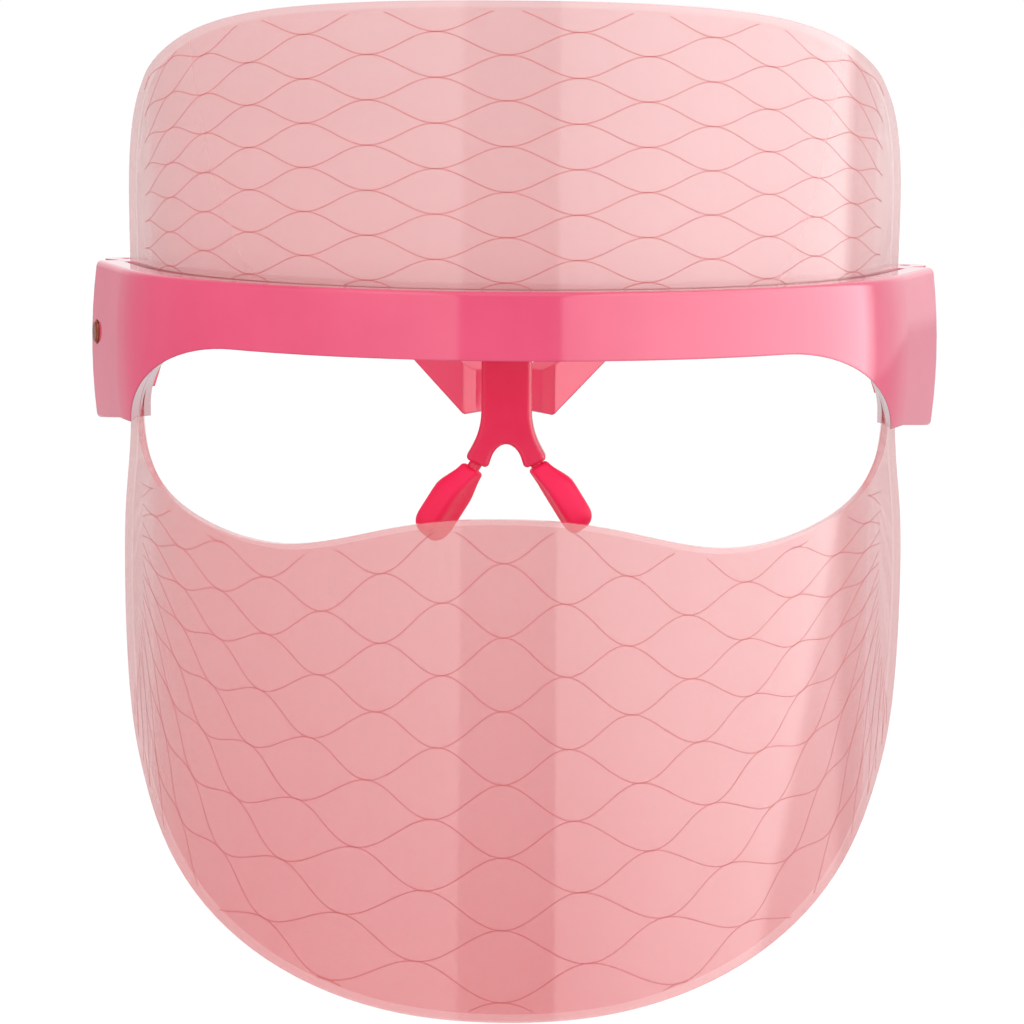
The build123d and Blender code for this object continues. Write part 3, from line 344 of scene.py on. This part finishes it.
def make_materials():
    """One material for each of the record's slots."""
    return {
        # each sheet's first colour is its bottom, darkened by painted shade; the second is its top, lightened by
        # painted light
        "clear_pink_panel": clear_sheet(
            "clear_pink_panel", (0.75, 0.045, 0.060), (0.86, 0.42, 0.42), alpha=0.45, coat=1.0,
        ),
        "guide_film": clear_sheet(
            "guide_film", (0.75, 0.08, 0.10), (0.84, 0.40, 0.40), alpha=0.16, coat=0.0,
        ),
        "pink_shell": plastic(
            "pink_shell", (0.79, 0.080, 0.180), (0.84, 0.094, 0.200), (0.06, 0.12),
            edge=0.7 * MM, Coat_Weight=0.6, Coat_Roughness=0.04,
        ),
        "deep_pink_plastic": plastic(
            "deep_pink_plastic", (0.81, 0.018, 0.084), (0.86, 0.028, 0.100), (0.10, 0.18),
            edge=0.9 * MM, Coat_Weight=0.3, Coat_Roughness=0.06,
        ),
        "silicone": plastic(
            "silicone", (0.96, 0.008, 0.088), (0.98, 0.014, 0.104), (0.42, 0.55),
            swirl=90, grain=1600, depth=0.012 * MM, Specular_IOR_Level=0.35,
        ),
        "pink_arm": plastic(
            "pink_arm", (0.96, 0.086, 0.195), (0.98, 0.104, 0.220), (0.10, 0.18),
            edge=0.7 * MM, Coat_Weight=0.35, Coat_Roughness=0.06,
        ),
        "steel": metal("steel", (0.50, 0.50, 0.52), (0.66, 0.66, 0.68), (0.25, 0.4)),
        "copper_button": plastic(
            "copper_button", (0.33, 0.06, 0.03), (0.45, 0.10, 0.05), (0.2, 0.3), swirl=200, Metallic=0.6,
        ),
        "switch_metal": metal("switch_metal", (0.45, 0.45, 0.47), (0.62, 0.62, 0.64), (0.3, 0.45)),
        "circuit_board": plastic(
            "circuit_board", (0.01, 0.09, 0.03), (0.02, 0.13, 0.05), (0.35, 0.5), swirl=500,
        ),
        "chip_resin": plastic(
            "chip_resin", (0.010, 0.010, 0.011), (0.02, 0.02, 0.022), (0.5, 0.65), swirl=900,
        ),
        "cell_foil": metal("cell_foil", (0.55, 0.56, 0.58), (0.68, 0.69, 0.71), (0.3, 0.45), swirl=150),
        "foam": plastic(
            "foam", (0.015, 0.015, 0.016), (0.04, 0.04, 0.043), (0.85, 0.95),
            swirl=1500, grain=3000, depth=0.05 * MM,
        ),
        "wire": plastic("wire", (0.40, 0.010, 0.010), (0.50, 0.02, 0.02), (0.4, 0.5), swirl=400),
        "led_resin": plastic(
            "led_resin", (0.85, 0.80, 0.55), (0.92, 0.88, 0.66), (0.15, 0.25), swirl=700,
        ),
    }


def dress_frame(materials):
    """Give each CAD node the material of its slot."""
    for part in frame["record"]["subparts"]:
        node = frame["nodes"][part["node"]]
        for slot in node.material_slots:
            slot.material = materials[part["material_slot"]]


# ---------------------------------------------------------------- shared mesh work
def on_sheet(around, height, proud):
    """Point and outward normal, from the distance round the outer face, the height and a stand-off."""
    side = 1 if around >= 0 else -1
    turn = min(abs(around) / SHEET_RADIUS, ARC_HALF_ANGLE)
    leg = max(abs(around) - ARC_LENGTH, 0)
    normal = Vector((side * sin(turn), -cos(turn), 0))
    along = Vector((side * cos(turn), sin(turn), 0))
    return Vector((0, SHEET_AXIS_Y, height)) + normal * (SHEET_RADIUS + proud) + along * leg, normal


def new_piece(name, bm, material, body, smooth_faces=True):
    """Turn a finished bmesh into a piece on a body."""
    bmesh.ops.recalc_face_normals(bm, faces=bm.faces)
    mesh = bpy.data.meshes.new(name)
    bm.to_mesh(mesh)
    bm.free()
    mesh.materials.append(material)
    for face in mesh.polygons:
        face.use_smooth = smooth_faces
    piece = bpy.data.objects.new(name, mesh)
    bpy.context.scene.collection.objects.link(piece)
    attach(piece, body)
    return piece


def skin_rings(bm, rings):
    """Join rings of vertices, one after the other, into a closed skin."""
    count = len(rings[0])
    for low, high in zip(rings, rings[1:]):
        for i in range(count):
            j = (i + 1) % count
            bm.faces.new((low[i], low[j], high[j], high[i]))
    bm.faces.new(rings[0][::-1])
    bm.faces.new(rings[-1])


# ---------------------------------------------------------------- net of wavy lines on the panel
LINE_HALF = 0.12 * MM
LINE_PROUD = 0.03 * MM
LINE_SUNK = 0.04 * MM
LINE_SECTION = (                     # across, in LINE_HALF, and out from the panel's face
    (-1.2, -LINE_SUNK), (1.2, -LINE_SUNK), (0.8, LINE_PROUD), (-0.8, LINE_PROUD),
)
LINE_MARGIN = 2.0 * MM               # the net stops this far inside the panel's edges
LINE_LEAST_SPOTS = 5                 # a shorter stretch is left out
LINE_ALPHA = 0.29
LINE_FADE = (SHEET_LOW + 5 * MM, SHEET_LOW + 80 * MM)    # below, the lines take the panel's colour
PROBES_AROUND = 8                    # places that are tried at the margin
PROBE_DEPTH = 0.3 * MM               # how far under the outer face a probe still counts
PROBE_EARLY = 0.2 * MM               # a hit further above it than this is another surface
STEP = 0.05                          # of a column
SWING = 0.5                          # of a row: how far a line leaves its row

BROW_COLUMN = 14.0 * MM
BROW_COLUMNS = 7.1                   # each side of the middle
BROW_PITCH = 8.8 * MM
BROW_BASE = BAR_TOP + 1.4 * MM
BROW_ROWS = range(-1, 8)
BROW_CLOSING = 0.205                 # share by which the rows draw together at the closing column
BROW_CLOSING_COLUMN = 6
BROW_CLOSING_POWER = 3.6

CHEEK_COLUMN = 12.0 * MM
CHEEK_COLUMN_GROWTH = 0.22 * MM      # for each column further out
CHEEK_COLUMNS = 7.6
CHEEK_PITCH = 14.8 * MM
CHEEK_PITCH_LEAST = 3.0 * MM
CHEEK_BASE = -10.3 * MM
CHEEK_ROWS = range(-9, 3)
CHEEK_DIP = 5.6 * MM                 # the rows follow the eye opening's lower edge
CHEEK_DIP_COLUMNS = 8
CHEEK_CLOSING = 4.8 * MM             # by which the pitch shrinks at the closing column
CHEEK_CLOSING_COLUMN = 5
CHEEK_CLOSING_POWER = 1.9
CHEEK_FAN = 0.42                     # share by which the columns fan out at the fan's depth
CHEEK_FAN_FROM = -25 * MM
CHEEK_FAN_DEPTH = 65 * MM
CHEEK_FAN_POWER = 1.6


def brow_point(column, row):
    """Place on the forehead: columns evenly spaced, rows drawing together towards the sides."""
    closing = 1 - BROW_CLOSING * abs(column / BROW_CLOSING_COLUMN) ** BROW_CLOSING_POWER
    return BROW_COLUMN * column, BROW_BASE + BROW_PITCH * closing * row


def cheek_point(column, row):
    """Place on the lower face: rows follow the eye opening and close up, columns fan out downwards."""
    reach = abs(column)
    base = CHEEK_BASE - CHEEK_DIP * sin(pi * min(reach, CHEEK_DIP_COLUMNS) / CHEEK_DIP_COLUMNS) ** 2
    pitch = CHEEK_PITCH - CHEEK_CLOSING * (reach / CHEEK_CLOSING_COLUMN) ** CHEEK_CLOSING_POWER
    height = base + max(pitch, CHEEK_PITCH_LEAST) * row
    depth = max(CHEEK_FAN_FROM - height, 0) / CHEEK_FAN_DEPTH
    fan = 1 + CHEEK_FAN * depth ** CHEEK_FAN_POWER
    return (CHEEK_COLUMN + CHEEK_COLUMN_GROWTH * reach) * column * fan, height


def waves(rows, columns, place):
    """Yield the net's lines as lists of (around, height): pairs that touch on every column."""
    steps = round(columns / STEP)
    for row in rows:
        for lift in (1, -1):
            yield [
                place(i * STEP, row + lift * SWING * (1 - cos(pi * i * STEP)) / 2)
                for i in range(-steps, steps + 1)
            ]


def inside_panel(tree, around, height):
    """Whether a place, and a margin round it, lies on the panel's outer face."""
    for i in range(PROBES_AROUND + 1):
        reach = LINE_MARGIN if i else 0
        angle = 2 * pi * i / PROBES_AROUND
        point, normal = on_sheet(around + reach * cos(angle), height + reach * sin(angle), 0)
        hit_place, _, _, distance = tree.ray_cast(point + normal * MM, -normal, MM + PROBE_DEPTH)
        if hit_place is None or distance < MM - PROBE_EARLY:
            return False
    return height > BAR_TOP or height < TAB_LOW


def add_line(bm, line):
    """Thin raised line with a flat top along a run of places."""
    rings = []
    for i, (around, height) in enumerate(line):
        before, after = line[max(i - 1, 0)], line[min(i + 1, len(line) - 1)]
        way = on_sheet(*after, 0)[0] - on_sheet(*before, 0)[0]
        point, normal = on_sheet(around, height, 0)
        across = normal.cross(way).normalized()
        rings.append([
            bm.verts.new(point + across * LINE_HALF * wide + normal * off)
            for wide, off in LINE_SECTION
        ])
    skin_rings(bm, rings)


def make_wave_net(material):
    """Every stretch of every line that lies on the panel."""
    tree = BVHTree.FromObject(frame["nodes"]["visor_panel"], bpy.context.evaluated_depsgraph_get())
    bm = bmesh.new()
    nets = ((BROW_ROWS, BROW_COLUMNS, brow_point), (CHEEK_ROWS, CHEEK_COLUMNS, cheek_point))
    for rows, columns, place in nets:
        for line in waves(rows, columns, place):
            run = []
            for spot in line + [None]:
                if spot is not None and inside_panel(tree, *spot):
                    run.append(spot)
                    continue
                if len(run) >= LINE_LEAST_SPOTS:
                    add_line(bm, run)
                run = []
    new_piece("wave_lines", bm, material, "shield", smooth_faces=False)


def wave_paint():
    """Tint of the lines, which fades into the panel's own towards the chin."""
    paint, tree, shader, place = shader_of("wave_paint")
    parts = tree.nodes.new("ShaderNodeSeparateXYZ")
    tree.links.new(place, parts.inputs["Vector"])
    fade = spread(tree, parts.outputs["Z"], 0, 1, *LINE_FADE)
    patches = spread(tree, noise(tree, place, 200), 0, 1)
    ink = blend_colour(tree, patches, (0.84, 0.11, 0.13), (0.88, 0.14, 0.16))
    tree.links.new(blend_colour(tree, fade, (0.72, 0.07, 0.09), ink), shader.inputs["Base Color"])
    tree.links.new(spread(tree, noise(tree, place, 900), 0.15, 0.3), shader.inputs["Roughness"])
    relief(tree, shader, [(noise(tree, place, 4000), 0.002 * MM)])
    shader.inputs["Specular IOR Level"].default_value = 0.25
    shader.inputs["Alpha"].default_value = LINE_ALPHA
    return paint


# ---------------------------------------------------------------- soft nose pads
# the photographed pads were pushed on and turned a little differently
PAD_LONG = {"left": 16.8 * MM, "right": 15.8 * MM}
PAD_DROP = {"left": 1.3 * MM, "right": 0.5 * MM}
PAD_TWIST = {"left": radians(28), "right": radians(13)}
PAD_RINGS = 26
PAD_ROUND = 44
PAD_MIDDLE = 0.8 * MM                # how far the leaf's middle moves back as it swells
PAD_HALF = (2.4 * MM, 2.0 * MM)      # half width at the spigot, and how much more further down
PAD_OUTER = (2.0 * MM, 2.4 * MM)     # the same for its reach away from the nose
PAD_INNER = (2.0 * MM, -0.3 * MM)    # and for its reach towards it
PAD_SWELL_END = 0.42                 # share of the length at which it is fully swollen
PAD_CROWN_END = 0.04                 # share that rounds over at the top
PAD_CROWN_HALF, PAD_CROWN_THICK = 0.6, 0.7           # shares of width and thickness left at the top
PAD_TIP_START = 0.74                 # share after which it rounds off to the tip
PAD_TIP_POWER = 2.8
PAD_TIP_THICK = 0.3                  # share of the thickness left at the tip
PAD_LEAST = 0.002                    # keeps the end rings open
PAD_DISH = 0.5 * MM                  # how deep the side towards the nose is dished
PAD_DISH_ENDS = 4                    # the dish fades in over one part in this many, at both ends
PAD_SQUARE_WIDE, PAD_SQUARE_THICK = 0.62, 0.55       # powers under 1 square off the section


def joint_named(name):
    """A joint's place and axis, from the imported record."""
    found = next(j for j in frame["joints"] if j["name"] == name)
    return Vector(found["pos_m"]), Vector(found["axis"]).normalized()


def smooth(t):
    """Ease from 0 to 1."""
    t = min(max(t, 0), 1)
    return t * t * (3 - 2 * t)


def pad_section(t):
    """Section at a share of a pad's length: its middle's set-back, half width, outer and inner reach."""
    swell = smooth(t / PAD_SWELL_END)
    close = 1
    crown = 1
    if t > PAD_TIP_START:
        close = max(1 - ((t - PAD_TIP_START) / (1 - PAD_TIP_START)) ** PAD_TIP_POWER, PAD_LEAST) ** 0.5
    if t < PAD_CROWN_END:
        crown = max(1 - ((PAD_CROWN_END - t) / PAD_CROWN_END) ** 2, PAD_LEAST) ** 0.5
    thin = (PAD_TIP_THICK + (1 - PAD_TIP_THICK) * close) * (PAD_CROWN_THICK + (1 - PAD_CROWN_THICK) * crown)
    narrow = close * (PAD_CROWN_HALF + (1 - PAD_CROWN_HALF) * crown)
    half, outer, inner = (
        (start + more * swell) * share
        for (start, more), share in ((PAD_HALF, narrow), (PAD_OUTER, thin), (PAD_INNER, thin))
    )
    return PAD_MIDDLE * swell, half, outer, inner


def corner(value, power):
    """Signed power, for squared-off rounds."""
    return (1 if value >= 0 else -1) * abs(value) ** power


def make_nose_pad(side_name, material):
    """Silicone pad: a thick leaf, narrow at the spigot, flat and slightly dished towards the nose."""
    side = SIDES[side_name]
    hinge, down = joint_named(f"pad_{side_name}_swivel")
    twist = PAD_TWIST[side_name]
    lean = Vector((side * down.z, 0, -side * down.x))
    nose_way = (lean * cos(twist) + Vector((0, -1, 0)) * sin(twist)).normalized()
    rear_way = nose_way.cross(down)
    if rear_way.y < 0:
        rear_way = -rear_way
    bm = bmesh.new()
    rings = []
    for k in range(PAD_RINGS + 1):
        t = (1 - cos(pi * k / PAD_RINGS)) / 2
        middle, half, outer, inner = pad_section(t)
        centre = hinge + down * (PAD_DROP[side_name] + PAD_LONG[side_name] * t) + rear_way * middle
        ring = []
        for i in range(PAD_ROUND):
            angle = 2 * pi * i / PAD_ROUND
            across = corner(cos(angle), PAD_SQUARE_WIDE) * half
            reach = inner if sin(angle) > 0 else outer
            stand = corner(sin(angle), PAD_SQUARE_THICK) * reach
            if stand > 0:
                lengthwise = smooth(PAD_DISH_ENDS * t) * smooth(PAD_DISH_ENDS * (1 - t))
                stand -= PAD_DISH * smooth(1 - abs(across) / half) * lengthwise
            ring.append(bm.verts.new(centre + rear_way * across + nose_way * stand))
        rings.append(ring)
    skin_rings(bm, rings)
    pad = new_piece(f"soft_nose_pad_{side_name}", bm, material, f"pad_{side_name}")
    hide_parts(f"nose_pad_{side_name}")


make_camera()
make_floor()
make_light()
paints = make_materials()
dress_frame(paints)
make_wave_net(wave_paint())
for pad_side in SIDES:
    make_nose_pad(pad_side, paints["silicone"])

visual_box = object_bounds()
({name: [list(corner_) for corner_ in box] for name, box in
           (("cad", cad_box), ("visual", visual_box))})
